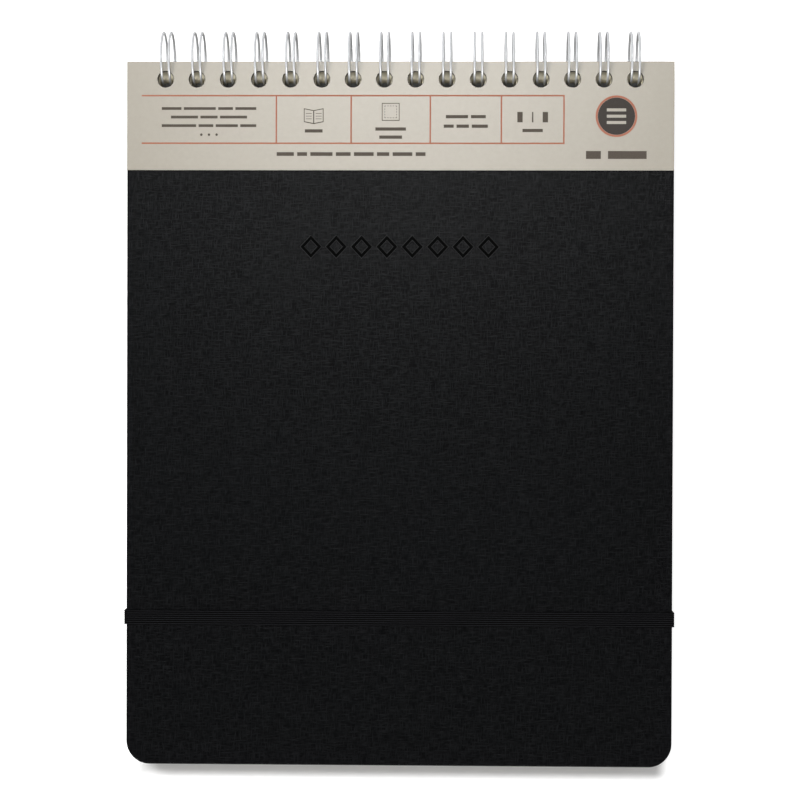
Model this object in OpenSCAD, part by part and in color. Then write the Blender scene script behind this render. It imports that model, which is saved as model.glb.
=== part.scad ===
// Notebook bound with a twin-loop wire, with a label card and an elastic band.
// It lies on its back: X runs along the wire, Y from the foot to the wire, Z from the back cover up.

/* [Sheets] */
// Width of a sheet
sheet_w = 215.9; // [190:0.1:300]
// Height of a sheet
sheet_h = 279.4; // [200:0.1:400]
// Number of sheets
sheet_count = 80; // [30:1:120]
// Thickness of one sheet
sheet_t = 0.11; // [0.08:0.01:0.14]
// Radius of the two corners at the sheets' foot
sheet_corner_r = 6.5; // [2:0.5:15]

/* [Covers] */
// How far the covers reach past the sheets at each side
side_overhang = 3.05; // [1:0.05:8]
// How far the covers reach past the sheets at the foot
foot_overhang = 3.05; // [1:0.05:8]
// How far the covers reach past the sheets at the wire
wire_overhang = 3.55; // [2.5:0.05:5]
// Radius of the two corners at the covers' foot
cover_corner_r = 9.5; // [4:0.5:20]
// Radius of the two corners beside the wire
cover_square_r = 1; // [0.8:0.1:3]
// Thickness of the grey board
board_t = 1.6; // [1:0.1:3]
// Thickness of the covering sheet
wrap_t = 0.35; // [0.2:0.05:0.6]
// Thickness of the endpaper
endpaper_t = 0.15; // [0.1:0.05:0.3]
// Width of the covering's turned-in rim
turn_in = 15; // [10:1:25]
// Distance from the cover's edge to the endpaper
endpaper_margin = 3.5; // [2:0.5:8]
// Radius of the covering's outer edges
wrap_edge_r = 0.55; // [0.3:0.05:0.9]

/* [Binding] */
// Distance from one hole to the next
hole_pitch = 12.7; // [10:0.1:15]
// Diameter of the holes in the sheets and the covers
hole_d = 6.4; // [6:0.1:7.5]
// How much wider the label's holes are than those below them
label_hole_play = 0.4; // [0:0.1:0.8]
// Distance from the covers' edge to the middle of their holes
hole_edge = 7.15; // [6:0.05:9]
// Diameter of the wire
wire_d = 1; // [0.8:0.1:1.2]
// Gap between the wire and the upper side of the sheets' holes, by which they hang on it
hang_gap = 0.15; // [0.1:0.05:0.4]
// Room between a loop's two strands and the sides of its hole
strand_play = 1.15; // [0.8:0.05:1.5]
// How far the wire's centre line stands off the label and the back cover
ring_room = 3.35; // [2.5:0.05:8]
// Radius of the bends at the root of each loop
bend_r = 1.2; // [0.9:0.1:1.4]
// Length of wire left at each end of the binding
wire_stub = 1.4; // [0.5:0.1:3]

/* [Elastic band] */
// Width of the band
band_w = 6; // [4:0.5:10]
// Thickness of the band, ribs included
band_t = 0.8; // [0.6:0.1:1.2]
// Number of ribs along the band
band_ribs = 7; // [4:1:10]
// Height of the ribs
rib_h = 0.2; // [0.1:0.05:0.3]
// Share of the band's face that the ribs take
rib_share = 0.68; // [0.5:0.02:0.8]
// Distance from the covers' foot to the middle of the band
band_up = 60; // [35:1:100]
// Gap between the band and the covers that it goes round
band_gap = 0.1; // [0.05:0.05:0.3]
// Distance from the back cover's side to the band's slot
slot_in = 20; // [17:1:35]
// Room round the band in its slot
slot_room = 0.25; // [0.15:0.05:0.5]
// Length of each glued tail of the band
tail_l = 14; // [8:1:30]

/* [Label] */
// Height of the label card
label_h = 44; // [40:0.5:60]
// Thickness of the label card
label_t = 0.35; // [0.2:0.05:0.5]
// Gap between the label and the front cover
label_gap = 0.05; // [0.02:0.01:0.2]
// Thickness of the ink on the label
ink_t = 0.04; // [0.03:0.01:0.08]
// Width of the ring round the badge
badge_ring_w = 0.8; // [0.4:0.1:1.2]
// Gap between the badge and its ring
badge_gap = 0.1; // [0.05:0.05:0.3]
// Width of the ruled lines
rule_w = 0.6; // [0.3:0.1:1]
// Distance from the label's upper edge to the upper ruled line
rule_top = 13.8; // [12.5:0.1:16]
// Distance from the label's upper edge to the lower ruled line
rule_bottom = 33.1; // [30:0.1:36]
// Distance from the label's left edge to the ruled table
table_left = 6; // [4:0.5:10]
// Diameter of the badge
badge_d = 15; // [11:0.2:16]
// Distance from the label's right edge to the middle of the badge
badge_in = 23.4; // [16:0.1:30]
// Distance from the label's upper edge to the middle of the badge
badge_down = 22.1; // [20:0.1:26]

/* [Debossed row] */
// Number of lozenges in the row
lozenges = 8; // [3:1:12]
// Distance from one lozenge to the next
lozenge_pitch = 10.3; // [7:0.1:14]
// Height of a lozenge
lozenge_h = 11; // [6:0.5:20]
// Distance from the cover's edge at the wire to the middle of the row
row_down = 75; // [60:0.5:150]
// Depth of the row
deboss = 0.25; // [0.1:0.05:0.3]
// Width of the row's sloping walls, seen from above
deboss_slope = 0.45; // [0.2:0.05:0.7]

/* [Hidden] */

round_fn = 64;
edge_fn = 16;
strand_fn = 96;
cut = 1;

// The covers and the stack
cover_w = sheet_w + 2 * side_overhang;
cover_h = sheet_h + wire_overhang + foot_overhang;
case_t = wrap_t + board_t + wrap_t;
cover_t = case_t + endpaper_t;
pages_t = sheet_count * sheet_t;
book_t = pages_t + 2 * cover_t;

// The wire runs evenly through the covers' holes, from the middle of the stack out to the label
half_stack = book_t / 2 + label_gap + label_t;
ring_r = half_stack + ring_room;
ring_od = 2 * ring_r + wire_d;
ring_to_hole = (ring_r + sqrt(ring_r * ring_r - half_stack * half_stack)) / 2;
strand_gap = hole_d - wire_d - 2 * strand_play;
core_d = wire_d / 2;
hole_count = floor(sheet_w / hole_pitch + 0.01) - 1;
row_w = (hole_count - 1) * hole_pitch;

// Where the loops' roots and tips lie on the ring, from its far side round over the front. Both are
// made of angles of the 3-4-5 triangle, whose sines and cosines are short decimals.
root_angle = 6 * atan(4 / 3) - 90;
tip_angle = 360 - 2 * atan(4 / 3);

// Places along Y, with the whole object centred on the origin
total_l = cover_h - hole_edge + ring_to_hole + ring_od / 2;
foot_y = -total_l / 2;
edge_y = foot_y + cover_h;
hole_y = edge_y - hole_edge;
ring_y = hole_y + ring_to_hole;
sheet_top_y = foot_y + foot_overhang + sheet_h;

// The sheets' holes lie lower than the covers': their upper sides rest on the loops' strands where
// the wire leaves the stack
strand_x = (strand_gap + wire_d) / 2;
wire_top_y = ring_y - sqrt(ring_r * ring_r - pages_t * pages_t / 4) + wire_d / 2;
sheet_hole_y = wire_top_y + hang_gap - sqrt(hole_d * hole_d / 4 - strand_x * strand_x);

// Places along Z, with the rings' lowest point at zero
ring_z = ring_od / 2;
back_z = ring_z - book_t / 2;
front_z = ring_z + book_t / 2;
pages_z = ring_z - pages_t / 2;

// The band and the slots that its tails go into
band_y = foot_y + band_up;
slot_x = cover_w / 2 - slot_in;
core_t = band_t - rib_h;

hole_xs = [for (i = [0 : hole_count - 1]) i * hole_pitch - row_w / 2];

// Outline with two square corners beside the wire and two round ones at the foot, drawn inset
module outline(inset, r) {
    w = cover_w - 2 * inset;
    h = cover_h - 2 * inset;
    translate([0, foot_y + inset]) {
        translate([-w / 2, r]) square([w, h - r]);
        translate([-w / 2 + r, 0]) square([w - 2 * r, h]);
        for (side = [-1, 1]) translate([side * (w / 2 - r), r]) circle(r = r, $fn = round_fn);
    }
}

// The row of holes, as cutters
module holes(z, h, d = hole_d, y = hole_y) {
    for (x = hole_xs) translate([x, y, z]) cylinder(d = d, h = h, $fn = round_fn);
}

// One rounded corner of a covered board: a ring of the edge's radius at each face
module edge_puck(r) {
    for (z = [wrap_edge_r, case_t - wrap_edge_r])
        translate([0, 0, z]) rotate_extrude($fn = round_fn)
            intersection() {
                translate([r - wrap_edge_r, 0]) circle(r = wrap_edge_r, $fn = edge_fn);
                translate([0, -wrap_edge_r]) square([r, 2 * wrap_edge_r]);
            }
}

// A covered board as a closed form, its outer face at z = 0
module case_form() {
    hull() for (side = [-1, 1]) {
        translate([side * (cover_w / 2 - cover_corner_r), foot_y + cover_corner_r, 0])
            edge_puck(cover_corner_r);
        translate([side * (cover_w / 2 - cover_square_r), edge_y - cover_square_r, 0])
            edge_puck(cover_square_r);
    }
}

// The window that the turned-in rim leaves on the inner face
module window(inset) {
    w = cover_w - 2 * (turn_in + inset);
    h = cover_h - 2 * (turn_in + inset);
    translate([-w / 2, foot_y + turn_in + inset]) square([w, h]);
}

module board() {
    translate([0, 0, wrap_t]) linear_extrude(board_t) outline(wrap_t, cover_corner_r - wrap_t);
}

// The slots for the band's two tails, and their pressed beds beside the slots
module tail_cuts() {
    for (side = [-1, 1])
        translate([side * slot_x - band_t / 2 - slot_room, band_y - band_w / 2 - slot_room, -cut])
            cube([band_t + 2 * slot_room, band_w + 2 * slot_room, case_t + 2 * cut]);
}

module tail_beds() {
    bed_l = tail_l + slot_room;
    for (side = [-1, 1])
        translate([side * (slot_x - bed_l / 2) - bed_l / 2, band_y - band_w / 2 - slot_room,
                   wrap_t + board_t - band_t])
            cube([bed_l, band_w + 2 * slot_room, band_t + cut]);
}

// The covering: one sheet over the outer face, round the edges and in over the inner face
module covering() {
    difference() {
        case_form();
        board();
        translate([0, 0, wrap_t]) linear_extrude(case_t) window(0);
        holes(-cut, case_t + 2 * cut);
    }
}

// The endpaper: over the turned-in rim, and down on to the board inside it
module endpaper() {
    difference() {
        union() {
            translate([0, 0, case_t]) linear_extrude(endpaper_t)
                outline(endpaper_margin, cover_corner_r - endpaper_margin);
            translate([0, 0, wrap_t + board_t]) linear_extrude(wrap_t + endpaper_t) window(0);
        }
        translate([0, 0, wrap_t + board_t + endpaper_t]) linear_extrude(case_t) window(endpaper_t);
        holes(-cut, cover_t + 2 * cut);
    }
}

// A cover's own frame: outer face at z = 0, inner face up
module back_cover() {
    translate([0, 0, back_z]) children();
}

module front_cover() {
    translate([0, 0, front_z]) mirror([0, 0, 1]) children();
}

module back_board() {
    color("#9a948a") back_cover() difference() {
        board();
        holes(0, case_t);
        tail_cuts();
        tail_beds();
    }
}

module back_covering() {
    color("#1b1c1e") back_cover() difference() {
        covering();
        tail_cuts();
    }
}

module back_endpaper() {
    color("#d8d4c8") back_cover() endpaper();
}

module front_board() {
    color("#9a948a") front_cover() difference() {
        board();
        holes(0, case_t);
    }
}

// A lozenge of one size at z = 0, as wide as half_w + run at one depth above and half_w - run below
module lozenge_block(half_w, run, depth) {
    low_w = half_w - run;
    low_h = low_w * lozenge_h / lozenge_pitch;
    translate([0, 0, -depth]) linear_extrude(2 * depth, scale = (half_w + run) / low_w)
        polygon([[-low_w, 0], [0, -low_h], [low_w, 0], [0, low_h]]);
}

// The debossed row on the front cover: open lozenges with sloping walls
module lozenge_row() {
    half_w = lozenge_pitch * 0.45;
    for (i = [0 : lozenges - 1])
        translate([(i - (lozenges - 1) / 2) * lozenge_pitch, edge_y - row_down, 0])
            difference() {
                lozenge_block(half_w, -deboss_slope, deboss);
                lozenge_block(half_w / 2, 2 * deboss_slope, 2 * deboss);
            }
}

module front_covering() {
    color("#1b1c1e") front_cover() difference() {
        covering();
        lozenge_row();
    }
}

module front_endpaper() {
    color("#d8d4c8") front_cover() endpaper();
}

module page_block() {
    color("#f2f0ea") difference() {
        translate([0, 0, pages_z]) linear_extrude(pages_t) {
            r = sheet_corner_r;
            translate([-sheet_w / 2, foot_y + foot_overhang + r]) square([sheet_w, sheet_h - r]);
            translate([-sheet_w / 2 + r, foot_y + foot_overhang]) square([sheet_w - 2 * r, sheet_h]);
            for (side = [-1, 1])
                translate([side * (sheet_w / 2 - r), foot_y + foot_overhang + r])
                    circle(r = r, $fn = round_fn);
        }
        holes(pages_z - cut, pages_t + 2 * cut, hole_d, sheet_hole_y);
    }
}

// A bend of the wire: part of a ring of radius r about Z, from angle a on through the given sweep
module wire_bend(r, a, sweep) {
    rotate([0, 0, a]) rotate_extrude(angle = sweep, $fn = strand_fn)
        translate([r, 0]) circle(d = wire_d, $fn = edge_fn);
}

// The place on the ring at one angle: X points out of the ring, Y round it and Z along the wire
module on_ring(angle) {
    rotate([0, 0, angle]) translate([ring_r, 0, 0]) children();
}

// The open part of the ring, between the roots of the loops and their tips
module seam() {
    far = ring_r + wire_d;
    intersection() {
        rotate([0, 0, root_angle]) translate([0, 0, -wire_d]) cube([far, far, 2 * wire_d]);
        rotate([0, 0, tip_angle]) translate([0, -far, -wire_d]) cube([far, far, 2 * wire_d]);
    }
}

// The wire's core across a joint of two of its arcs, along the ring
module core() {
    rotate([90, 0, 0]) cylinder(d = core_d, h = wire_d, center = true, $fn = edge_fn);
}

// One loop: two strands most of the way round, a round tip, and the two bends at its root
module loop() {
    for (side = [-1, 1], angle = [root_angle, tip_angle])
        on_ring(angle) translate([0, 0, side * strand_gap / 2]) core();
    for (side = [-1, 1]) translate([0, 0, side * strand_gap / 2]) difference() {
        rotate_extrude($fn = strand_fn) translate([ring_r, 0]) circle(d = wire_d, $fn = edge_fn);
        seam();
    }
    on_ring(tip_angle) rotate([0, 90, 0]) wire_bend(strand_gap / 2, 180, 180);
    on_ring(root_angle) for (side = [-1, 1])
        translate([0, 0, side * (strand_gap / 2 + bend_r)])
            rotate([0, 90, 0]) wire_bend(bend_r, side > 0 ? 0 : 90, 90);
}

// The straight root wire from one loop to the next, or the short end left past the last loop, with
// its core reaching on into the bends
module root_wire(z, length, before = core_d, after = core_d) {
    on_ring(root_angle) translate([0, bend_r, z]) {
        cylinder(d = wire_d, h = length, $fn = edge_fn);
        translate([0, 0, -before]) cylinder(d = core_d, h = length + before + after, $fn = edge_fn);
    }
}

// The binding: one wire, bent into a comb of loops and closed round the stack
module binding_wire() {
    loop_half = strand_gap / 2 + bend_r;
    color("#c9cbcd") translate([0, ring_y, ring_z]) rotate([90, 0, 90]) {
        for (x = hole_xs) translate([0, 0, x]) loop();
        for (i = [0 : hole_count - 2]) root_wire(hole_xs[i] + loop_half, hole_pitch - 2 * loop_half);
        root_wire(hole_xs[0] - loop_half - wire_stub, wire_stub, before = 0);
        root_wire(hole_xs[hole_count - 1] + loop_half, wire_stub, after = 0);
    }
}

// A closed round-cornered band outline about the two covers, grown by a distance, in X and Z
module band_form(grow) {
    r = wrap_edge_r + grow;
    w = cover_w / 2 + grow;
    z0 = back_z - grow;
    z1 = front_z + grow;
    translate([-w + r, z0]) square([2 * (w - r), z1 - z0]);
    translate([-w, z0 + r]) square([2 * w, z1 - z0 - 2 * r]);
    for (x = [-w + r, w - r], z = [z0 + r, z1 - r]) translate([x, z]) circle(r = r, $fn = round_fn);
}

// The band's run from slot to slot, over the front and round both sides
module band_run(inner, outer) {
    difference() {
        band_form(outer);
        band_form(inner);
        translate([-slot_x + band_t / 2, back_z - band_t - cut])
            square([2 * slot_x - band_t, band_t + 2 * cut]);
    }
}

// The band's tails: up through the slot and in along the board, under the endpaper
module band_tail() {
    top_z = back_z + wrap_t + board_t;
    translate([slot_x - band_t / 2, back_z - band_gap]) square([core_t, top_z - back_z + band_gap]);
    translate([slot_x - tail_l, top_z - core_t]) square([tail_l - band_t / 2 + core_t, core_t]);
}

module elastic_band() {
    rib_pitch = band_w / band_ribs;
    rib_w = rib_pitch * rib_share;
    color("#101113") translate([0, band_y + band_w / 2, 0]) rotate([90, 0, 0]) {
        linear_extrude(band_w) {
            band_run(band_gap, band_gap + core_t);
            band_tail();
            mirror([1, 0]) band_tail();
        }
        for (i = [0 : band_ribs - 1]) translate([0, 0, (i + 0.5) * rib_pitch - rib_w / 2])
            linear_extrude(rib_w) band_run(band_gap + core_t, band_gap + band_t);
    }
}

module header_label() {
    color("#cfccbf") difference() {
        translate([-cover_w / 2, edge_y - label_h, front_z + label_gap])
            cube([cover_w, label_h, label_t]);
        holes(front_z, label_t + label_gap + cut, hole_d + label_hole_play);
    }
}

// The label's own frame: X from its left edge, Y down from its upper edge, ink on its face
module on_label() {
    translate([-cover_w / 2, edge_y, front_z + label_gap + label_t]) linear_extrude(ink_t)
        mirror([0, 1]) children();
}

// The print follows the card's width, and its rows the two ruled lines and the card's lower edge
print_scale = cover_w / 222;
column_xs = [for (x = [60.8, 91.2, 123.3, 152.1, 177.4]) x * print_scale];
table_xs = concat([table_left], column_xs);
cell_xs = [for (i = [0 : len(column_xs) - 1]) (table_xs[i] + table_xs[i + 1]) / 2];
badge_x = cover_w - badge_in;
foot_line_y = rule_bottom + 0.4 * (label_h - rule_bottom);

// Height of a row on the card, as a share of the way from the upper ruled line to the lower one
function row(share) = rule_top + share * (rule_bottom - rule_top);

module label_rules() {
    right_x = column_xs[len(column_xs) - 1];
    ring_d = badge_d + 2 * badge_gap;
    color("#b2705c") on_label() {
        for (y = [rule_top, rule_bottom])
            translate([table_left, y - rule_w / 2]) square([right_x - table_left + rule_w / 2, rule_w]);
        for (x = column_xs)
            translate([x - rule_w / 2, rule_top]) square([rule_w, rule_bottom - rule_top]);
        translate([badge_x, badge_down]) difference() {
            circle(d = ring_d + 2 * badge_ring_w, $fn = round_fn);
            circle(d = ring_d, $fn = round_fn);
        }
    }
}

// Something drawn at a place on the card, at the print's scale
module at(x, y) {
    translate([x, y]) scale([print_scale, print_scale]) children();
}

// A line of plain bars in place of words, centred, each with its own width
module bars(h, widths) {
    space = h * 0.9;
    total = [for (w = widths) 1] * widths + space * (len(widths) - 1);
    for (i = [0 : len(widths) - 1]) {
        before = i == 0 ? 0 : [for (j = [0 : i - 1]) widths[j] + space] * [for (j = [0 : i - 1]) 1];
        translate([before - total / 2, -h / 2]) square([widths[i], h]);
    }
}

// A plain open book, drawn as two leaning pages with a few lines
module book_sign() {
    for (side = [-1, 1]) {
        difference() {
            polygon([[0, -2.4], [side * 4, -3.2], [side * 4, 2.4], [0, 3.2]]);
            polygon([[side * 0.2, -2.1], [side * 3.7, -2.8], [side * 3.7, 2.1], [side * 0.2, 2.8]]);
        }
        for (y = [-1.1, 0, 1.1]) translate([side * 2 - 1.2, y - 0.1]) square([2.4, 0.2]);
    }
}

// A plain swatch of covering material with a stitched edge
module swatch_sign() {
    difference() {
        translate([-3.6, -3.6]) square(7.2);
        translate([-3.3, -3.3]) square(6.6);
    }
    for (i = [-2 : 2], side = [-1, 1]) {
        translate([i * 1.1 - 0.3, side * 2.4 - 0.1]) square([0.6, 0.2]);
        translate([side * 2.4 - 0.1, i * 1.1 - 0.3]) square([0.2, 0.6]);
    }
}

module label_lines() {
    color("#5b534b") on_label() {
        at(cell_xs[0], row(0.27)) bars(1.1, [8, 13, 6, 8.5]);
        at(cell_xs[0], row(0.45)) bars(1.1, [11, 7, 11]);
        at(cell_xs[0], row(0.63)) bars(1.1, [14, 6, 9, 6.5]);
        for (x = [-3.1, 0, 3.1]) at(cell_xs[0], row(0.82)) translate([x, 0]) circle(d = 1, $fn = 24);
        at(cell_xs[1], row(0.43)) book_sign();
        at(cell_xs[1], row(0.74)) bars(1.3, [7.2]);
        at(cell_xs[2], row(0.34)) swatch_sign();
        at(cell_xs[2], row(0.7)) bars(1.3, [12.4]);
        at(cell_xs[2], row(0.87)) bars(1.3, [9.2]);
        at(cell_xs[3], row(0.44)) bars(1.3, [9, 6]);
        at(cell_xs[3], row(0.64)) bars(1.3, [4, 5, 6.5]);
        at(cell_xs[4], row(0.45)) bars(4.2, [2.4, 0.6, 2.4] * 0.9);
        at(cell_xs[4], row(0.73)) bars(1.3, [8.2]);
        at(column_xs[1], foot_line_y) bars(1.5, [7, 4, 9, 6, 8, 5, 8, 4]);
        at(badge_x, foot_line_y + 0.3) bars(3.2, [6, 15.6]);
    }
}

module label_badge() {
    color("#4a4542") on_label() translate([badge_x, badge_down]) difference() {
        circle(d = badge_d, $fn = round_fn);
        for (y = [-0.17, 0, 0.17] * badge_d)
            translate([-0.26 * badge_d, y - 0.04 * badge_d]) square([0.52 * badge_d, 0.08 * badge_d]);
    }
}

front_board();
front_covering();
front_endpaper();
page_block();
back_board();
back_covering();
back_endpaper();
binding_wire();
elastic_band();
header_label();
label_rules();
label_lines();
label_badge();
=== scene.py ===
"""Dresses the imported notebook: finishes, sheets, elastic strap, floor, light and camera."""

import logging
import math
import random
from dataclasses import dataclass, field
from enum import Enum
from typing import Any

import bpy
from mathutils import Euler, Matrix, Vector


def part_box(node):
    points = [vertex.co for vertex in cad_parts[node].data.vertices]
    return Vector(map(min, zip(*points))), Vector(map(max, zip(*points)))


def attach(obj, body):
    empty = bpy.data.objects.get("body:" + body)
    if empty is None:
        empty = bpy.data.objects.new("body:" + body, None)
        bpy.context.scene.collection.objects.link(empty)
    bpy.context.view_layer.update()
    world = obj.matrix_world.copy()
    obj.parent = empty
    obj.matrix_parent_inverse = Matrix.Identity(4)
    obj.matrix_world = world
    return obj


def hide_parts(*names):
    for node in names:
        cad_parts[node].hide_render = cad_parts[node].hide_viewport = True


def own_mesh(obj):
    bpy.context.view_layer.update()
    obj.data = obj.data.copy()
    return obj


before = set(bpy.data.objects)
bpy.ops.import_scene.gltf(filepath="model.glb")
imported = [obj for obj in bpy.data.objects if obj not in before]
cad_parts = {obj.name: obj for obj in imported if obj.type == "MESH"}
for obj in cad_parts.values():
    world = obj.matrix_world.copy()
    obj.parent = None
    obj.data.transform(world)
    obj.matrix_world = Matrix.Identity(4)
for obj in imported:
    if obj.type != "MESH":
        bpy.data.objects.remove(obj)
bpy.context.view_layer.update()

MM = 0.001
LOG = logging.getLogger("notebook")


class Body(Enum):
    """The bodies that the new pieces ride on."""

    BACK = "root"
    PAGES = "pages"


class Lit(Enum):
    """The surfaces that a lamp lights: matt light and glossy light, each yes or no."""

    ALL = (True, True)
    MATT = (True, False)
    GLOSSY = (False, True)


def linear(hex_code: str) -> tuple[float, float, float, float]:
    """Turns an sRGB colour into linear light.

    Args:
        hex_code: six hex digits, such as "1c1c1e".

    Returns:
        Red, green, blue and alpha as Blender's sockets take them.
    """
    values = [int(hex_code[i : i + 2], 16) / 255 for i in (0, 2, 4)]
    red, green, blue = (v / 12.92 if v <= 0.04045 else ((v + 0.055) / 1.055) ** 2.4 for v in values)
    return red, green, blue, 1.0


def add_node(
    tree: bpy.types.NodeTree, kind: str, inputs: dict[Any, Any] | None = None, **settings: Any
) -> bpy.types.Node:
    """Adds one node with its settings, values and links.

    Args:
        tree: the node tree to add to.
        kind: the node's class name.
        inputs: socket name or number to a value, or to the output socket to link.
        settings: properties of the node itself.

    Returns:
        The new node.
    """
    node = tree.nodes.new(kind)
    for name, value in settings.items():
        setattr(node, name, value)
    for key, value in (inputs or {}).items():
        if isinstance(value, bpy.types.NodeSocket):
            tree.links.new(value, node.inputs[key])
        else:
            node.inputs[key].default_value = value
    return node


def blank_material(name: str) -> bpy.types.Material:
    """Makes an empty node material.

    Args:
        name: the material's name.

    Returns:
        The material, with no nodes in it.
    """
    material = bpy.data.materials.new(name)
    material.use_nodes = True
    material.node_tree.nodes.clear()
    return material


def dress(piece: bpy.types.Object, material: bpy.types.Material) -> None:
    """Gives a piece one material all over.

    Args:
        piece: the mesh object to dress.
        material: the finish it gets.
    """
    piece.data.materials.clear()
    piece.data.materials.append(material)


@dataclass(frozen=True)
class BookCloth:
    """Black coated covering paper, embossed with a linen grain: fine threads both ways, low sheen.

    The threads' crowns shine more than the gaps between them. Where the covering is pressed below
    its outer faces, the grain is flattened and dull, and the pressed walls catch the light.
    """

    face_zs: tuple[float, float]
    name: str = "black_book_cloth"
    colour_deep: str = "020203"
    colour_raised: str = "0d0e10"
    colour_pressed: str = "010101"
    roughness: float = 0.3
    shine_deep: float = 0.03
    shine_raised: float = 0.068
    shine_pressed: float = 0.01
    shine_wall: float = 0.3
    thread_mm: float = 0.5  # real threads are about 0.35 mm, drawn coarser so that they show
    slub_mm: float = 4.0
    relief_mm: float = 0.03
    press_mm: float = 0.25
    play_mm: float = 0.04
    mark_m: tuple[float, float] = (0.08, 0.0)  # the mark's half width, and a height below it
    weave_range: tuple[float, float] = (0.45, 0.72)
    noise_detail: float = 2.0
    noise_roughness: float = 0.6
    bump_grain: float = 0.8
    bump_pressed: float = 0.1

    def material(self) -> bpy.types.Material:
        """Builds the grain from two streaked noises, one for each way of the threads."""
        material = blank_material(self.name)
        tree = material.node_tree
        place = add_node(tree, "ShaderNodeTexCoord").outputs["Object"]
        thin, long = 1 / (self.thread_mm * MM), 1 / (self.slub_mm * MM)
        streaks = []
        for scale in ((thin, long, thin), (long, thin, thin)):
            mapped = add_node(tree, "ShaderNodeMapping", {"Vector": place, "Scale": scale})
            streaks.append(
                add_node(
                    tree,
                    "ShaderNodeTexNoise",
                    {
                        "Vector": mapped.outputs[0],
                        "Scale": 1.0,
                        "Detail": self.noise_detail,
                        "Roughness": self.noise_roughness,
                    },
                ).outputs["Fac"]
            )
        weave = add_node(
            tree, "ShaderNodeMath", {0: streaks[0], 1: streaks[1]}, operation="MAXIMUM"
        ).outputs[0]
        gaps, crowns = self.weave_range
        spread = add_node(
            tree,
            "ShaderNodeMapRange",
            {"Value": weave, "From Min": gaps, "From Max": crowns, "To Min": 0.0, "To Max": 1.0},
        ).outputs[0]
        across, along, height = add_node(tree, "ShaderNodeSeparateXYZ", {0: place}).outputs
        depth = add_node(
            tree,
            "ShaderNodeMath",
            {
                0: add_node(
                    tree, "ShaderNodeMath", {0: height, 1: self.face_zs[0]}, operation="SUBTRACT"
                ).outputs[0],
                1: add_node(
                    tree, "ShaderNodeMath", {0: self.face_zs[1], 1: height}, operation="SUBTRACT"
                ).outputs[0],
            },
            operation="MINIMUM",
        ).outputs[0]
        pressed, wall = (
            add_node(
                tree,
                "ShaderNodeMath",
                {0: depth, 1: middle * MM, 2: half * MM},
                operation="COMPARE",
            ).outputs[0]
            for middle, half in (
                (self.press_mm, self.play_mm),
                (self.press_mm / 2, self.press_mm / 2 - self.play_mm),
            )
        )
        half_wide, below = self.mark_m
        for kind, first, second in (("COMPARE", across, 0.0), ("GREATER_THAN", along, below)):
            inside = add_node(
                tree, "ShaderNodeMath", {0: first, 1: second, 2: half_wide}, operation=kind
            ).outputs[0]
            wall = add_node(
                tree, "ShaderNodeMath", {0: wall, 1: inside}, operation="MULTIPLY"
            ).outputs[0]
        colour = add_node(
            tree,
            "ShaderNodeMix",
            {"Factor": spread, 6: linear(self.colour_deep), 7: linear(self.colour_raised)},
            data_type="RGBA",
        ).outputs[2]
        colour = add_node(
            tree,
            "ShaderNodeMix",
            {"Factor": pressed, 6: colour, 7: linear(self.colour_pressed)},
            data_type="RGBA",
        ).outputs[2]
        shine = add_node(
            tree,
            "ShaderNodeMapRange",
            {"Value": spread, "To Min": self.shine_deep, "To Max": self.shine_raised},
        ).outputs[0]
        for mask, level in ((pressed, self.shine_pressed), (wall, self.shine_wall)):
            shine = add_node(tree, "ShaderNodeMix", {"Factor": mask, 2: shine, 3: level}).outputs[0]
        flat = add_node(
            tree,
            "ShaderNodeMapRange",
            {"Value": pressed, "To Min": self.bump_grain, "To Max": self.bump_pressed},
        ).outputs[0]
        bump = add_node(
            tree,
            "ShaderNodeBump",
            {"Height": spread, "Distance": self.relief_mm * MM, "Strength": flat},
        ).outputs[0]
        shader = add_node(
            tree,
            "ShaderNodeBsdfPrincipled",
            {
                "Base Color": colour,
                "Roughness": self.roughness,
                "Specular IOR Level": shine,
                "Normal": bump,
            },
        )
        add_node(tree, "ShaderNodeOutputMaterial", {"Surface": shader.outputs[0]})
        return material


@dataclass(frozen=True)
class Paper:
    """Uncoated or lightly coated paper and board: matt, with a faint fibre mottle."""

    name: str
    colour: str
    mottle: str
    roughness: float = 0.85
    specular: float = 0.3
    fibre_mm: float = 0.9
    relief_mm: float = 0.01
    noise_detail: float = 3.0
    noise_roughness: float = 0.6
    bump: float = 0.5

    def material(self) -> bpy.types.Material:
        """Builds the mottle from one soft noise."""
        material = blank_material(self.name)
        tree = material.node_tree
        place = add_node(tree, "ShaderNodeTexCoord").outputs["Object"]
        fibres = add_node(
            tree,
            "ShaderNodeTexNoise",
            {
                "Vector": place,
                "Scale": 1 / (self.fibre_mm * MM),
                "Detail": self.noise_detail,
                "Roughness": self.noise_roughness,
            },
        ).outputs["Fac"]
        colour = add_node(
            tree,
            "ShaderNodeMix",
            {"Factor": fibres, 6: linear(self.colour), 7: linear(self.mottle)},
            data_type="RGBA",
        ).outputs[2]
        bump = add_node(
            tree,
            "ShaderNodeBump",
            {"Height": fibres, "Distance": self.relief_mm * MM, "Strength": self.bump},
        ).outputs[0]
        shader = add_node(
            tree,
            "ShaderNodeBsdfPrincipled",
            {
                "Base Color": colour,
                "Roughness": self.roughness,
                "Specular IOR Level": self.specular,
                "Normal": bump,
            },
        )
        add_node(tree, "ShaderNodeOutputMaterial", {"Surface": shader.outputs[0]})
        return material


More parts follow.
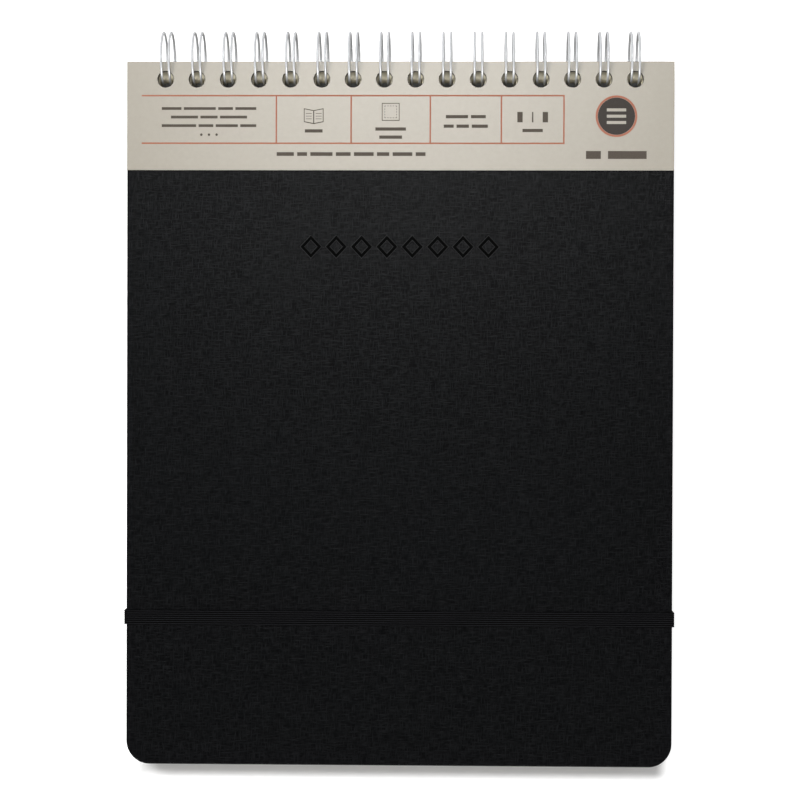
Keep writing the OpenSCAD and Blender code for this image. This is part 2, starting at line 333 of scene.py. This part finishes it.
@dataclass(frozen=True)
class RuledPaper:
    """Ivory writing paper, offset printed with pale blue rules on both faces of each sheet."""

    name: str
    head_y: float
    foot_y: float
    colour: str = "e9e1c8"
    # painted shade: the sheets' cut sides are coloured darker than their faces, for the shade on the
    # stack's sides and in the holes
    shaded_edge: str = "c4bca5"
    rule: str = "a9b9c9"
    rule_pitch_mm: float = 7.1
    rule_mm: float = 0.35
    roughness: float = 0.85
    specular: float = 0.3
    face_share: float = 0.5  # a face whose normal rises more than this is printed

    def material(self) -> bpy.types.Material:
        """Draws the rules on the faces that point up or down, between the head and the foot."""
        material = blank_material(self.name)
        tree = material.node_tree
        coords = add_node(tree, "ShaderNodeTexCoord")
        place = add_node(tree, "ShaderNodeSeparateXYZ", {0: coords.outputs["Object"]})
        facing = add_node(tree, "ShaderNodeSeparateXYZ", {0: coords.outputs["Normal"]})
        up = add_node(tree, "ShaderNodeMath", {0: facing.outputs[2]}, operation="ABSOLUTE")
        on_face = add_node(
            tree, "ShaderNodeMath", {0: up.outputs[0], 1: self.face_share}, operation="GREATER_THAN"
        )
        down = add_node(
            tree, "ShaderNodeMath", {0: self.head_y, 1: place.outputs[1]}, operation="SUBTRACT"
        )
        step = add_node(
            tree,
            "ShaderNodeMath",
            {0: down.outputs[0], 1: self.rule_pitch_mm * MM},
            operation="PINGPONG",
        )
        near = add_node(
            tree,
            "ShaderNodeMath",
            {0: step.outputs[0], 1: self.rule_mm * MM / 2},
            operation="LESS_THAN",
        )
        below_head = add_node(
            tree,
            "ShaderNodeMath",
            {0: down.outputs[0], 1: -self.rule_mm * MM},
            operation="GREATER_THAN",
        )
        above_foot = add_node(
            tree,
            "ShaderNodeMath",
            {0: place.outputs[1], 1: self.foot_y},
            operation="GREATER_THAN",
        )
        inked = near.outputs[0]
        for mask in (on_face, below_head, above_foot):
            inked = add_node(
                tree, "ShaderNodeMath", {0: inked, 1: mask.outputs[0]}, operation="MULTIPLY"
            ).outputs[0]
        # faces take the paper's colour; the sides take the darker colour, which is painted shade
        sheet = add_node(
            tree,
            "ShaderNodeMix",
            {"Factor": on_face.outputs[0], 6: linear(self.shaded_edge), 7: linear(self.colour)},
            data_type="RGBA",
        ).outputs[2]
        colour = add_node(
            tree,
            "ShaderNodeMix",
            {"Factor": inked, 6: sheet, 7: linear(self.rule)},
            data_type="RGBA",
        ).outputs[2]
        shader = add_node(
            tree,
            "ShaderNodeBsdfPrincipled",
            {
                "Base Color": colour,
                "Roughness": self.roughness,
                "Specular IOR Level": self.specular,
            },
        )
        add_node(tree, "ShaderNodeOutputMaterial", {"Surface": shader.outputs[0]})
        return material


@dataclass(frozen=True)
class PrintingInk:
    """Ink printed on card: a thin film with a slight gloss, uneven where the card shows through."""

    name: str
    colour: str
    thin: str
    roughness: float = 0.65
    specular: float = 0.2
    speck_mm: float = 0.35
    noise_detail: float = 2.0

    def material(self) -> bpy.types.Material:
        """Builds the film with a fine uneven cover."""
        material = blank_material(self.name)
        tree = material.node_tree
        place = add_node(tree, "ShaderNodeTexCoord").outputs["Object"]
        cover = add_node(
            tree,
            "ShaderNodeTexNoise",
            {
                "Vector": place,
                "Scale": 1 / (self.speck_mm * MM),
                "Detail": self.noise_detail,
            },
        ).outputs["Fac"]
        colour = add_node(
            tree,
            "ShaderNodeMix",
            {"Factor": cover, 6: linear(self.colour), 7: linear(self.thin)},
            data_type="RGBA",
        ).outputs[2]
        shader = add_node(
            tree,
            "ShaderNodeBsdfPrincipled",
            {
                "Base Color": colour,
                "Roughness": self.roughness,
                "Specular IOR Level": self.specular,
            },
        )
        add_node(tree, "ShaderNodeOutputMaterial", {"Surface": shader.outputs[0]})
        return material


@dataclass(frozen=True)
class SilverWire:
    """Drawn steel binding wire in a thin silver nylon coat: more paint than metal to the eye.

    It keeps its tone where it goes down into the holes, with a soft light line along its crown.
    """

    name: str = "silver_wire"
    colour: str = "d4d6d8"
    dull: str = "c6c8ca"
    roughness: float = 0.3
    smoother: float = 0.08
    rougher: float = 0.1
    metallic: float = 0.2
    grain_mm: float = 0.6
    noise_detail: float = 3.0

    def material(self) -> bpy.types.Material:
        """Builds the coat with a slight change of tone and roughness along the wire."""
        material = blank_material(self.name)
        tree = material.node_tree
        place = add_node(tree, "ShaderNodeTexCoord").outputs["Object"]
        grain = add_node(
            tree,
            "ShaderNodeTexNoise",
            {
                "Vector": place,
                "Scale": 1 / (self.grain_mm * MM),
                "Detail": self.noise_detail,
            },
        ).outputs["Fac"]
        colour = add_node(
            tree,
            "ShaderNodeMix",
            {"Factor": grain, 6: linear(self.colour), 7: linear(self.dull)},
            data_type="RGBA",
        ).outputs[2]
        rough = add_node(
            tree,
            "ShaderNodeMapRange",
            {
                "Value": grain,
                "To Min": self.roughness - self.smoother,
                "To Max": self.roughness + self.rougher,
            },
        ).outputs[0]
        shader = add_node(
            tree,
            "ShaderNodeBsdfPrincipled",
            {"Base Color": colour, "Roughness": rough, "Metallic": self.metallic},
        )
        add_node(tree, "ShaderNodeOutputMaterial", {"Surface": shader.outputs[0]})
        return material


@dataclass(frozen=True)
class Elastic:
    """Woven black elastic: rubber cords in polyester yarn, matt, with fine threads across the cords.

    A painted highlight runs along the crown of each cord, a little paler than the yarn.
    """

    edge_y: float
    rib_pitch: float
    name: str = "black_elastic"
    colour_deep: str = "000000"
    colour_raised: str = "09090a"
    # painted highlight: the paler colour laid along each cord's crown
    colour_crown_highlight: str = "2a2a2d"
    roughness: float = 0.6
    specular: float = 0.015
    # how much of each cord the painted highlight covers
    crown_share: float = 0.3
    thread_mm: float = 0.45
    relief_mm: float = 0.04
    bump: float = 0.7

    def material(self) -> bpy.types.Material:
        """Draws the threads across the strap, along its run over the covers and round the sides."""
        material = blank_material(self.name)
        tree = material.node_tree
        place = add_node(
            tree, "ShaderNodeSeparateXYZ", {0: add_node(tree, "ShaderNodeTexCoord").outputs["Object"]}
        )
        run = add_node(
            tree, "ShaderNodeMath", {0: place.outputs[0], 1: place.outputs[2]}, operation="ADD"
        ).outputs[0]
        turns = add_node(
            tree,
            "ShaderNodeMath",
            {0: run, 1: 2 * math.pi / (self.thread_mm * MM)},
            operation="MULTIPLY",
        ).outputs[0]
        wave = add_node(tree, "ShaderNodeMath", {0: turns}, operation="SINE").outputs[0]
        threads = add_node(
            tree, "ShaderNodeMapRange", {"Value": wave, "From Min": -1.0, "From Max": 1.0}
        ).outputs[0]
        colour = add_node(
            tree,
            "ShaderNodeMix",
            {"Factor": threads, 6: linear(self.colour_deep), 7: linear(self.colour_raised)},
            data_type="RGBA",
        ).outputs[2]
        across = add_node(
            tree, "ShaderNodeMath", {0: place.outputs[1], 1: self.edge_y}, operation="SUBTRACT"
        ).outputs[0]
        to_groove = add_node(
            tree, "ShaderNodeMath", {0: across, 1: self.rib_pitch / 2}, operation="PINGPONG"
        ).outputs[0]
        # painted highlight along the crown of each cord, palest at the crest
        crown = add_node(
            tree,
            "ShaderNodeMapRange",
            {
                "Value": to_groove,
                "From Min": self.rib_pitch / 2 * (1 - self.crown_share),
                "From Max": self.rib_pitch / 2,
            },
        ).outputs[0]
        colour = add_node(
            tree,
            "ShaderNodeMix",
            {"Factor": crown, 6: colour, 7: linear(self.colour_crown_highlight)},
            data_type="RGBA",
        ).outputs[2]
        bump = add_node(
            tree,
            "ShaderNodeBump",
            {"Height": threads, "Distance": self.relief_mm * MM, "Strength": self.bump},
        ).outputs[0]
        shader = add_node(
            tree,
            "ShaderNodeBsdfPrincipled",
            {
                "Base Color": colour,
                "Roughness": self.roughness,
                "Specular IOR Level": self.specular,
                "Normal": bump,
            },
        )
        add_node(tree, "ShaderNodeOutputMaterial", {"Surface": shader.outputs[0]})
        return material


def start_piece() -> None:
    """Leaves edit mode and deselects everything, before a new piece is begun."""
    if bpy.context.object and bpy.context.object.mode != "OBJECT":
        bpy.ops.object.mode_set(mode="OBJECT")
    bpy.ops.object.select_all(action="DESELECT")


def apply_modifiers(piece: bpy.types.Object) -> None:
    """Applies every modifier of a piece in order.

    Args:
        piece: the object to finish.
    """
    bpy.context.view_layer.objects.active = piece
    for modifier in list(piece.modifiers):
        bpy.ops.object.modifier_apply(modifier=modifier.name)


def settle(piece: bpy.types.Object) -> None:
    """Moves a piece's place into its mesh, so that its object sits at the origin.

    Args:
        piece: the object to settle.
    """
    piece.data.transform(piece.matrix_world)
    piece.matrix_world = Matrix.Identity(4)


@dataclass
class SheetStack:
    """The ruled sheets, each its own leaf hung on the wire by its row of holes.

    The leaves follow the loops' arc, so the stack's edges bow by about a millimetre.
    """

    sheets: int = 80
    leaf_share: float = 0.95
    drift_mm: float = 0.08
    corner_mm: float = 6.5
    corner_steps: int = 8
    hole_mm: tuple[float, float] = (5.2, 4.2)
    hole_pitch_mm: float = 12.7
    hole_down_mm: float = 5.45
    punch_leaves: int = 20  # a punch's height, so that it goes right through the lowest leaf
    count_play: float = 0.01
    wire_mm: float = 1.0
    head_mm: float = 26.0
    foot_mm: float = 12.0
    seed: int = 7

    def __post_init__(self) -> None:
        """Reads the block's place from the frame."""
        self.low, self.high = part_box("page_block")
        self.pitch = (self.high.z - self.low.z) / self.sheets
        ring_low, ring_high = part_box("binding_wire")
        self.ring_z = (ring_low.z + ring_high.z) / 2
        self.ring_r = (ring_high.z - ring_low.z - self.wire_mm * MM) / 2

    def punches(self) -> bpy.types.Object:
        """Makes the row of oblong punches that cuts one leaf's holes.

        Returns:
            One object with a block for each hole.
        """
        width = self.high.x - self.low.x
        count = int(width / (self.hole_pitch_mm * MM) + self.count_play) - 1
        first = -(count - 1) / 2 * self.hole_pitch_mm * MM
        start_piece()
        for i in range(count):
            bpy.ops.mesh.primitive_cube_add(
                size=1,
                scale=(
                    self.hole_mm[0] * MM,
                    self.hole_mm[1] * MM,
                    self.punch_leaves * self.pitch,
                ),
                location=(
                    first + i * self.hole_pitch_mm * MM,
                    self.high.y - self.hole_down_mm * MM,
                    self.low.z,
                ),
            )
            punch = bpy.context.object
            settle(punch)
            if i == 0:
                row = punch
            else:
                row.select_set(True)
                punch.select_set(True)
                bpy.context.view_layer.objects.active = row
                bpy.ops.object.join()
                row = bpy.context.object
            bpy.ops.object.select_all(action="DESELECT")
        return row

    def leaf(self) -> bpy.types.Object:
        """Makes the lowest leaf: a plane with two round corners, given its thickness and punched.

        Returns:
            The leaf, as a closed mesh.
        """
        start_piece()
        middle = (self.low + self.high) / 2
        bpy.ops.mesh.primitive_plane_add(size=1, location=(middle.x, middle.y, self.low.z))
        leaf = bpy.context.object
        leaf.scale = (self.high.x - self.low.x, self.high.y - self.low.y, 1)
        bpy.context.view_layer.update()
        settle(leaf)
        for vertex in leaf.data.vertices:
            vertex.select = vertex.co.y < middle.y
        bpy.ops.object.mode_set(mode="EDIT")
        bpy.ops.mesh.select_mode(type="VERT")
        bpy.ops.mesh.bevel(
            offset=self.corner_mm * MM, segments=self.corner_steps, affect="VERTICES"
        )
        bpy.ops.mesh.select_all(action="SELECT")
        bpy.ops.mesh.extrude_region_move(
            TRANSFORM_OT_translate={"value": (0, 0, self.pitch * self.leaf_share)}
        )
        bpy.ops.mesh.select_all(action="SELECT")
        bpy.ops.mesh.normals_make_consistent(inside=False)
        bpy.ops.object.mode_set(mode="OBJECT")
        row = self.punches()
        cut = leaf.modifiers.new("holes", "BOOLEAN")
        cut.operation = "DIFFERENCE"
        cut.solver = "EXACT"
        cut.object = row
        leaf.select_set(True)
        apply_modifiers(leaf)
        bpy.data.objects.remove(row)
        return leaf

    def sag(self, z: float) -> float:
        """Tells how far a leaf hangs from the stack's outermost leaves, by the loops' arc.

        Args:
            z: the leaf's height.

        Returns:
            The distance towards the foot.
        """
        outer = (self.high.z - self.low.z) / 2
        here = math.sqrt(self.ring_r**2 - (z - self.ring_z) ** 2)
        return here - math.sqrt(self.ring_r**2 - outer**2)

    def build(self) -> bpy.types.Object:
        """Copies the leaf into the whole stack.

        Returns:
            The stack, riding with the pages.
        """
        draw = random.Random(self.seed)
        leaf = self.leaf()
        copies = [leaf]
        for i in range(1, self.sheets):
            copy = leaf.copy()
            copy.data = leaf.data.copy()
            drift = [draw.uniform(-1, 1) * self.drift_mm * MM for _ in range(2)]
            hang = self.sag(self.low.z + (i + 0.5) * self.pitch)
            copy.data.transform(Matrix.Translation((drift[0], drift[1] - hang, i * self.pitch)))
            bpy.context.scene.collection.objects.link(copy)
            copies.append(copy)
        start_piece()
        for copy in copies:
            copy.select_set(True)
        bpy.context.view_layer.objects.active = leaf
        bpy.ops.object.join()
        stack = bpy.context.object
        stack.name = "sheet_stack"
        finish = RuledPaper(
            "ruled_paper",
            head_y=self.high.y - self.head_mm * MM,
            foot_y=self.low.y + self.foot_mm * MM,
        )
        dress(stack, finish.material())
        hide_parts("page_block")
        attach(stack, Body.PAGES.value)
        return stack


@dataclass
class ElasticStrap:
    """The woven elastic: ribbed on its face, from slot to slot round the covers' sides and front."""

    ribs: int = 7
    rib_steps: int = 6
    rib_mm: float = 0.16
    thickness_mm: float = 0.8
    slot_in_mm: float = 20.0
    start_up_mm: float = 1.2  # where the strap begins, up in its slot
    bend_steps: int = 6
    bend_mm: float = 0.95
    slot_bend_mm: float = 0.5
    crown_power: float = 0.6  # below 1 the cords' crowns are broad and the grooves narrow
    weld_mm: float = 0.01
    smooth_deg: float = 40.0
    keep: float = 0.12

    def __post_init__(self) -> None:
        """Reads the strap's place from the frame."""
        self.low, self.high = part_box("elastic_band")
        self.cover_low, self.cover_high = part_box("back_covering")
        self.slot_x = self.cover_high.x - self.slot_in_mm * MM
        self.start_z = self.cover_low.z + self.start_up_mm * MM

    def profile(self) -> bpy.types.Object:
        """Makes the strap's section as one face, standing in its slot on the right-hand side.

        Returns:
            The section, its ribbed side towards the middle of the book.
        """
        start_piece()
        width = self.high.y - self.low.y
        bpy.ops.mesh.primitive_circle_add(
            vertices=2 * self.ribs * self.rib_steps,
            radius=width / 2,
            fill_type="NGON",
            location=(self.slot_x, (self.low.y + self.high.y) / 2, self.start_z),
        )
        section = bpy.context.object
        settle(section)
        half = self.ribs * self.rib_steps
        base = (self.thickness_mm - self.rib_mm) * MM
        for i, vertex in enumerate(section.data.vertices):
            along = (i if i < half else 2 * half - i) / half
            vertex.co.y = self.low.y + along * width
            inner = i == 0 or i >= half
            wave = abs(math.sin(math.pi * along * self.ribs)) ** self.crown_power
            rise = 0 if inner else base + wave * self.rib_mm * MM
            vertex.co.x = self.slot_x + self.thickness_mm * MM / 2 - rise
        return section

    def build(self) -> bpy.types.Object:
        """Draws the section out along the strap's run, with a bend wherever it turns.

        Returns:
            The strap, riding with the back cover.
        """
        strap = self.profile()
        back = self.low.z
        thick = self.thickness_mm * MM
        pull = self.slot_bend_mm * MM
        bend = self.bend_mm * MM
        y = (self.low.y + self.high.y) / 2
        strap.select_set(True)
        bpy.context.view_layer.objects.active = strap
        bpy.ops.object.mode_set(mode="EDIT")
        bpy.ops.mesh.select_all(action="SELECT")

        def draw_out(move: tuple[float, float, float]) -> None:
            """Extrudes the leading face straight on by one move."""
            bpy.ops.mesh.extrude_region_move(TRANSFORM_OT_translate={"value": move})

        def turn(centre: tuple[float, float, float], angle: float) -> None:
            """Spins the leading face round a line along Y."""
            bpy.ops.mesh.spin(steps=self.bend_steps, angle=angle, center=centre, axis=(0, 1, 0))

        inner_x = self.slot_x + thick / 2
        first_z = back + thick + pull
        draw_out((0, 0, first_z - self.start_z))
        turn((inner_x + pull, y, first_z), math.pi / 2)
        side_x = self.high.x - bend
        draw_out((side_x - inner_x - pull, 0, 0))
        turn((side_x, y, back + bend), math.pi / 2)
        draw_out((0, 0, self.high.z - back - 2 * bend))
        turn((side_x, y, self.high.z - bend), math.pi / 2)
        draw_out((-2 * side_x, 0, 0))
        turn((-side_x, y, self.high.z - bend), math.pi / 2)
        draw_out((0, 0, -(self.high.z - back - 2 * bend)))
        turn((-side_x, y, back + bend), math.pi / 2)
        draw_out((side_x - inner_x - pull, 0, 0))
        turn((-inner_x - pull, y, first_z), math.pi / 2)
        draw_out((0, 0, self.start_z - first_z))
        bpy.ops.mesh.select_all(action="SELECT")
        bpy.ops.mesh.remove_doubles(threshold=self.weld_mm * MM)
        bpy.ops.mesh.normals_make_consistent(inside=False)
        bpy.ops.object.mode_set(mode="OBJECT")
        bpy.ops.object.shade_smooth_by_angle(angle=math.radians(self.smooth_deg))
        strap.name = "elastic_strap"
        dress(strap, Elastic(self.low.y, (self.high.y - self.low.y) / self.ribs).material())
        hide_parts("elastic_band")
        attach(strap, Body.BACK.value)
        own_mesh(strap)
        return strap


@dataclass
class CoveredBoards:
    """Both covers: covering, board and endpaper, as the frame gives them."""

    cloth: BookCloth = field(
        default_factory=lambda: BookCloth(
            (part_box("back_covering")[0].z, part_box("front_covering")[1].z)
        )
    )
    board: Paper = Paper("grey_board", "9a9488", "857f74", fibre_mm=0.6, relief_mm=0.04)
    lining: Paper = Paper("endpaper", "dcd8cc", "d2cdbf", fibre_mm=1.2)

    def dress(self) -> None:
        """Gives the covers' pieces their finishes."""
        finishes = {"covering": self.cloth, "board": self.board, "endpaper": self.lining}
        for part, finish in finishes.items():
            material = finish.material()
            for side in ("front", "back"):
                dress(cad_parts[f"{side}_{part}"], material)


@dataclass
class Binding:
    """The twin-loop wire, as the frame gives it."""

    wire: SilverWire = field(default_factory=SilverWire)

    def dress(self) -> None:
        """Gives the wire its finish."""
        dress(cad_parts["binding_wire"], self.wire.material())


@dataclass
class HeaderLabel:
    """The label card and its print."""

    card: Paper = Paper(
        "label_card", "9d9687", "958e80", roughness=0.3, specular=0.5, fibre_mm=1.6, relief_mm=0.003
    )
    copper: PrintingInk = PrintingInk("copper_ink", "a4604a", "b3745e")
    brown: PrintingInk = PrintingInk("brown_ink", "4c443c", "5a5248")
    dark: PrintingInk = PrintingInk("badge_ink", "36302c", "403a36")

    def dress(self) -> None:
        """Gives the card and each colour of its print their finishes."""
        finishes = {
            "header_label": self.card,
            "label_rules": self.copper,
            "label_lines": self.brown,
            "label_badge": self.dark,
        }
        for node, finish in finishes.items():
            dress(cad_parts[node], finish.material())


@dataclass(frozen=True)
class Lamp:
    """A square soft lamp that looks at the middle of the notebook's footprint."""

    name: str
    place_m: tuple[float, float, float]
    size_m: float
    power_w: float
    lit: Lit

    def hang(self) -> None:
        """Hangs the lamp in the scene."""
        data = bpy.data.lights.new(self.name, "AREA")
        data.size = self.size_m
        data.energy = self.power_w
        lamp = bpy.data.objects.new(self.name, data)
        lamp.location = self.place_m
        lamp.rotation_euler = Vector(self.place_m).to_track_quat("Z", "Y").to_euler()
        lamp.visible_diffuse, lamp.visible_glossy = self.lit.value
        bpy.context.scene.collection.objects.link(lamp)


@dataclass
class Studio:
    """Floor, world, soft lamps and the camera above the notebook."""

    camera_mm: tuple[float, float, float] = (28.6, 11.95, 1020.0)
    camera_turn_deg: tuple[float, float, float] = (-0.72, 1.616, 0.176)
    focal_px: float = 2468.5
    image_px: float = 800.0
    sensor_mm: float = 36.0
    clip_start_m: float = 0.01
    floor_m: float = 4.0
    floor_colour: str = "f4f4f4"
    floor_play_mm: float = 0.02
    world_level: float = 0.5
    # the glow is painted light, which near the notebook's sides and head paints over their shadows
    floor_glow: float = 0.73
    # where the painted glow fades, in mm from the cover's sides, head and foot; the foot's span
    # leaves a band of real shadow
    side_fade_mm: tuple[float, float] = (-6.0, 1.0)
    head_fade_mm: tuple[float, float] = (0.0, 0.5)
    foot_fade_mm: tuple[float, float] = (3.8, 11.0)
    near_m: float = 0.3
    far_m: float = 0.9
    far_glow: float = 0.8
    lamps: tuple[Lamp, ...] = (
        Lamp("head_sheen", (-0.03, 0.34, 1.15), 0.4, 6.6, Lit.GLOSSY),
        Lamp("key_lamp", (-1.1, 0.9, 2.1), 0.7, 37.0, Lit.MATT),
        Lamp("side_lamp", (-0.8, -0.2, 1.2), 0.6, 1.0, Lit.ALL),
        Lamp("foot_sheen", (0.1, -1.1, 0.65), 0.8, 30.0, Lit.GLOSSY),
    )

    def place_camera(self) -> None:
        """Sets the camera where the photograph was taken."""
        data = bpy.data.cameras.new("camera")
        data.sensor_width = self.sensor_mm
        data.sensor_height = self.sensor_mm
        data.lens = self.focal_px / self.image_px * self.sensor_mm
        data.clip_start = self.clip_start_m
        camera = bpy.data.objects.new("camera", data)
        camera.location = Vector(self.camera_mm) * MM
        camera.rotation_euler = Euler([math.radians(a) for a in self.camera_turn_deg], "XYZ")
        bpy.context.scene.collection.objects.link(camera)
        bpy.context.scene.camera = camera

    def lay_floor(self) -> None:
        """Lays a pale floor against the rings and the elastic, which carry the notebook."""
        ring_low, ring_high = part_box("binding_wire")
        strap_low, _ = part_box("elastic_band")
        ring_y = ring_high.y - (ring_high.z - ring_low.z) / 2
        slope = math.atan2(strap_low.z - ring_low.z, ring_y - strap_low.y)
        start_piece()
        bpy.ops.mesh.primitive_plane_add(size=self.floor_m)
        floor = bpy.context.object
        floor.name = "floor"
        lean = Matrix.Rotation(-slope, 4, "X")
        contact = Vector((0, ring_y, ring_low.z - self.floor_play_mm * MM))
        floor.data.transform(Matrix.Translation(contact) @ lean)
        dress(floor, self.floor_paint())

    def floor_paint(self) -> bpy.types.Material:
        """Paints the floor matt white, and lets it glow to the camera: painted light, laid out by
        place.

        The glow follows the notebook's footprint, not its shadow: it fades out under the notebook and
        in a band at its foot, where the real shadow is left to show, and it is full just beyond the
        sides and the head, where it paints their shadows out. Only the camera sees it, so it adds no
        light to the notebook.

        Returns:
            The floor's material.
        """
        cover_low, cover_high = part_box("back_covering")
        material = blank_material("floor_paint")
        tree = material.node_tree
        paint = add_node(
            tree, "ShaderNodeBsdfDiffuse", {"Color": linear(self.floor_colour)}
        ).outputs[0]
        seen = add_node(tree, "ShaderNodeLightPath").outputs["Is Camera Ray"]
        place = add_node(tree, "ShaderNodeTexCoord").outputs["Object"]
        away = add_node(
            tree, "ShaderNodeVectorMath", {0: place}, operation="LENGTH"
        ).outputs["Value"]
        across, along = add_node(tree, "ShaderNodeSeparateXYZ", {0: place}).outputs[:2]
        aside = add_node(tree, "ShaderNodeMath", {0: across}, operation="ABSOLUTE").outputs[0]
        # shade is 1 where the painted glow is held back, under the notebook and at its foot, and 0
        # where it paints over shadow
        shade = 1.0
        for first, second, (start, end) in (
            (aside, cover_high.x, self.side_fade_mm),
            (along, cover_high.y, self.head_fade_mm),
            (cover_low.y, along, self.foot_fade_mm),
        ):
            gap = add_node(tree, "ShaderNodeMath", {0: first, 1: second}, operation="SUBTRACT")
            shaded = add_node(
                tree,
                "ShaderNodeMapRange",
                {
                    "Value": gap.outputs[0],
                    "From Min": start * MM,
                    "From Max": end * MM,
                    "To Min": 1.0,
                    "To Max": 0.0,
                },
                interpolation_type="SMOOTHSTEP",
            ).outputs[0]
            shade = add_node(
                tree, "ShaderNodeMath", {0: shaded, 1: shade}, operation="MULTIPLY"
            ).outputs[0]
        glow_near = add_node(
            tree,
            "ShaderNodeMapRange",
            {"Value": shade, "To Min": self.floor_glow, "To Max": 0.0},
        ).outputs[0]
        glow_here = add_node(
            tree,
            "ShaderNodeMapRange",
            {
                "Value": away,
                "From Min": self.near_m,
                "From Max": self.far_m,
                "To Min": glow_near,
                "To Max": self.far_glow,
            },
        ).outputs[0]
        strength = add_node(
            tree, "ShaderNodeMath", {0: seen, 1: glow_here}, operation="MULTIPLY"
        ).outputs[0]
        glow = add_node(tree, "ShaderNodeEmission", {"Strength": strength}).outputs[0]
        both = add_node(tree, "ShaderNodeAddShader", {0: paint, 1: glow}).outputs[0]
        add_node(tree, "ShaderNodeOutputMaterial", {"Surface": both})
        return material

    def set_world(self) -> None:
        """Lights the notebook evenly; the world is full white to the camera and in reflections."""
        world = bpy.data.worlds.new("studio")
        bpy.context.scene.world = world
        world.use_nodes = True
        tree = world.node_tree
        tree.nodes.clear()
        path = add_node(tree, "ShaderNodeLightPath")
        shown = path.outputs["Is Camera Ray"]
        for name in ("Is Glossy Ray", "Is Transmission Ray"):
            shown = add_node(
                tree, "ShaderNodeMath", {0: shown, 1: path.outputs[name]}, operation="MAXIMUM"
            ).outputs[0]
        strength = add_node(
            tree,
            "ShaderNodeMapRange",
            {"Value": shown, "To Min": self.world_level, "To Max": 1.0},
        ).outputs[0]
        sky = add_node(
            tree, "ShaderNodeBackground", {"Color": (1, 1, 1, 1), "Strength": strength}
        ).outputs[0]
        add_node(tree, "ShaderNodeOutputWorld", {"Surface": sky})

    def build(self) -> None:
        """Sets up the view, the floor and the light.

        The sheens light glossy surfaces alone, so that the covers shine towards the head as
        photographed. The key lamp, beyond the head and to the left, casts the shadows.
        """
        bpy.context.scene.view_settings.view_transform = "Standard"
        self.place_camera()
        self.lay_floor()
        self.set_world()
        for lamp in self.lamps:
            lamp.hang()


def main() -> None:
    """Builds and dresses every part of the notebook."""
    logging.basicConfig(level=logging.INFO, format="%(name)s: %(message)s")
    Studio().build()
    LOG.info("studio: camera, floor and lamps")
    CoveredBoards().dress()
    LOG.info("covers: coverings, boards and endpapers")
    Binding().dress()
    LOG.info("binding: twin-loop wire")
    HeaderLabel().dress()
    LOG.info("label: card and print")
    stack = SheetStack().build()
    LOG.info("%s: %d polygons", stack.name, len(stack.data.polygons))
    strap = ElasticStrap().build()
    LOG.info("%s: %d polygons", strap.name, len(strap.data.polygons))


if __name__ == "__main__":
    main()
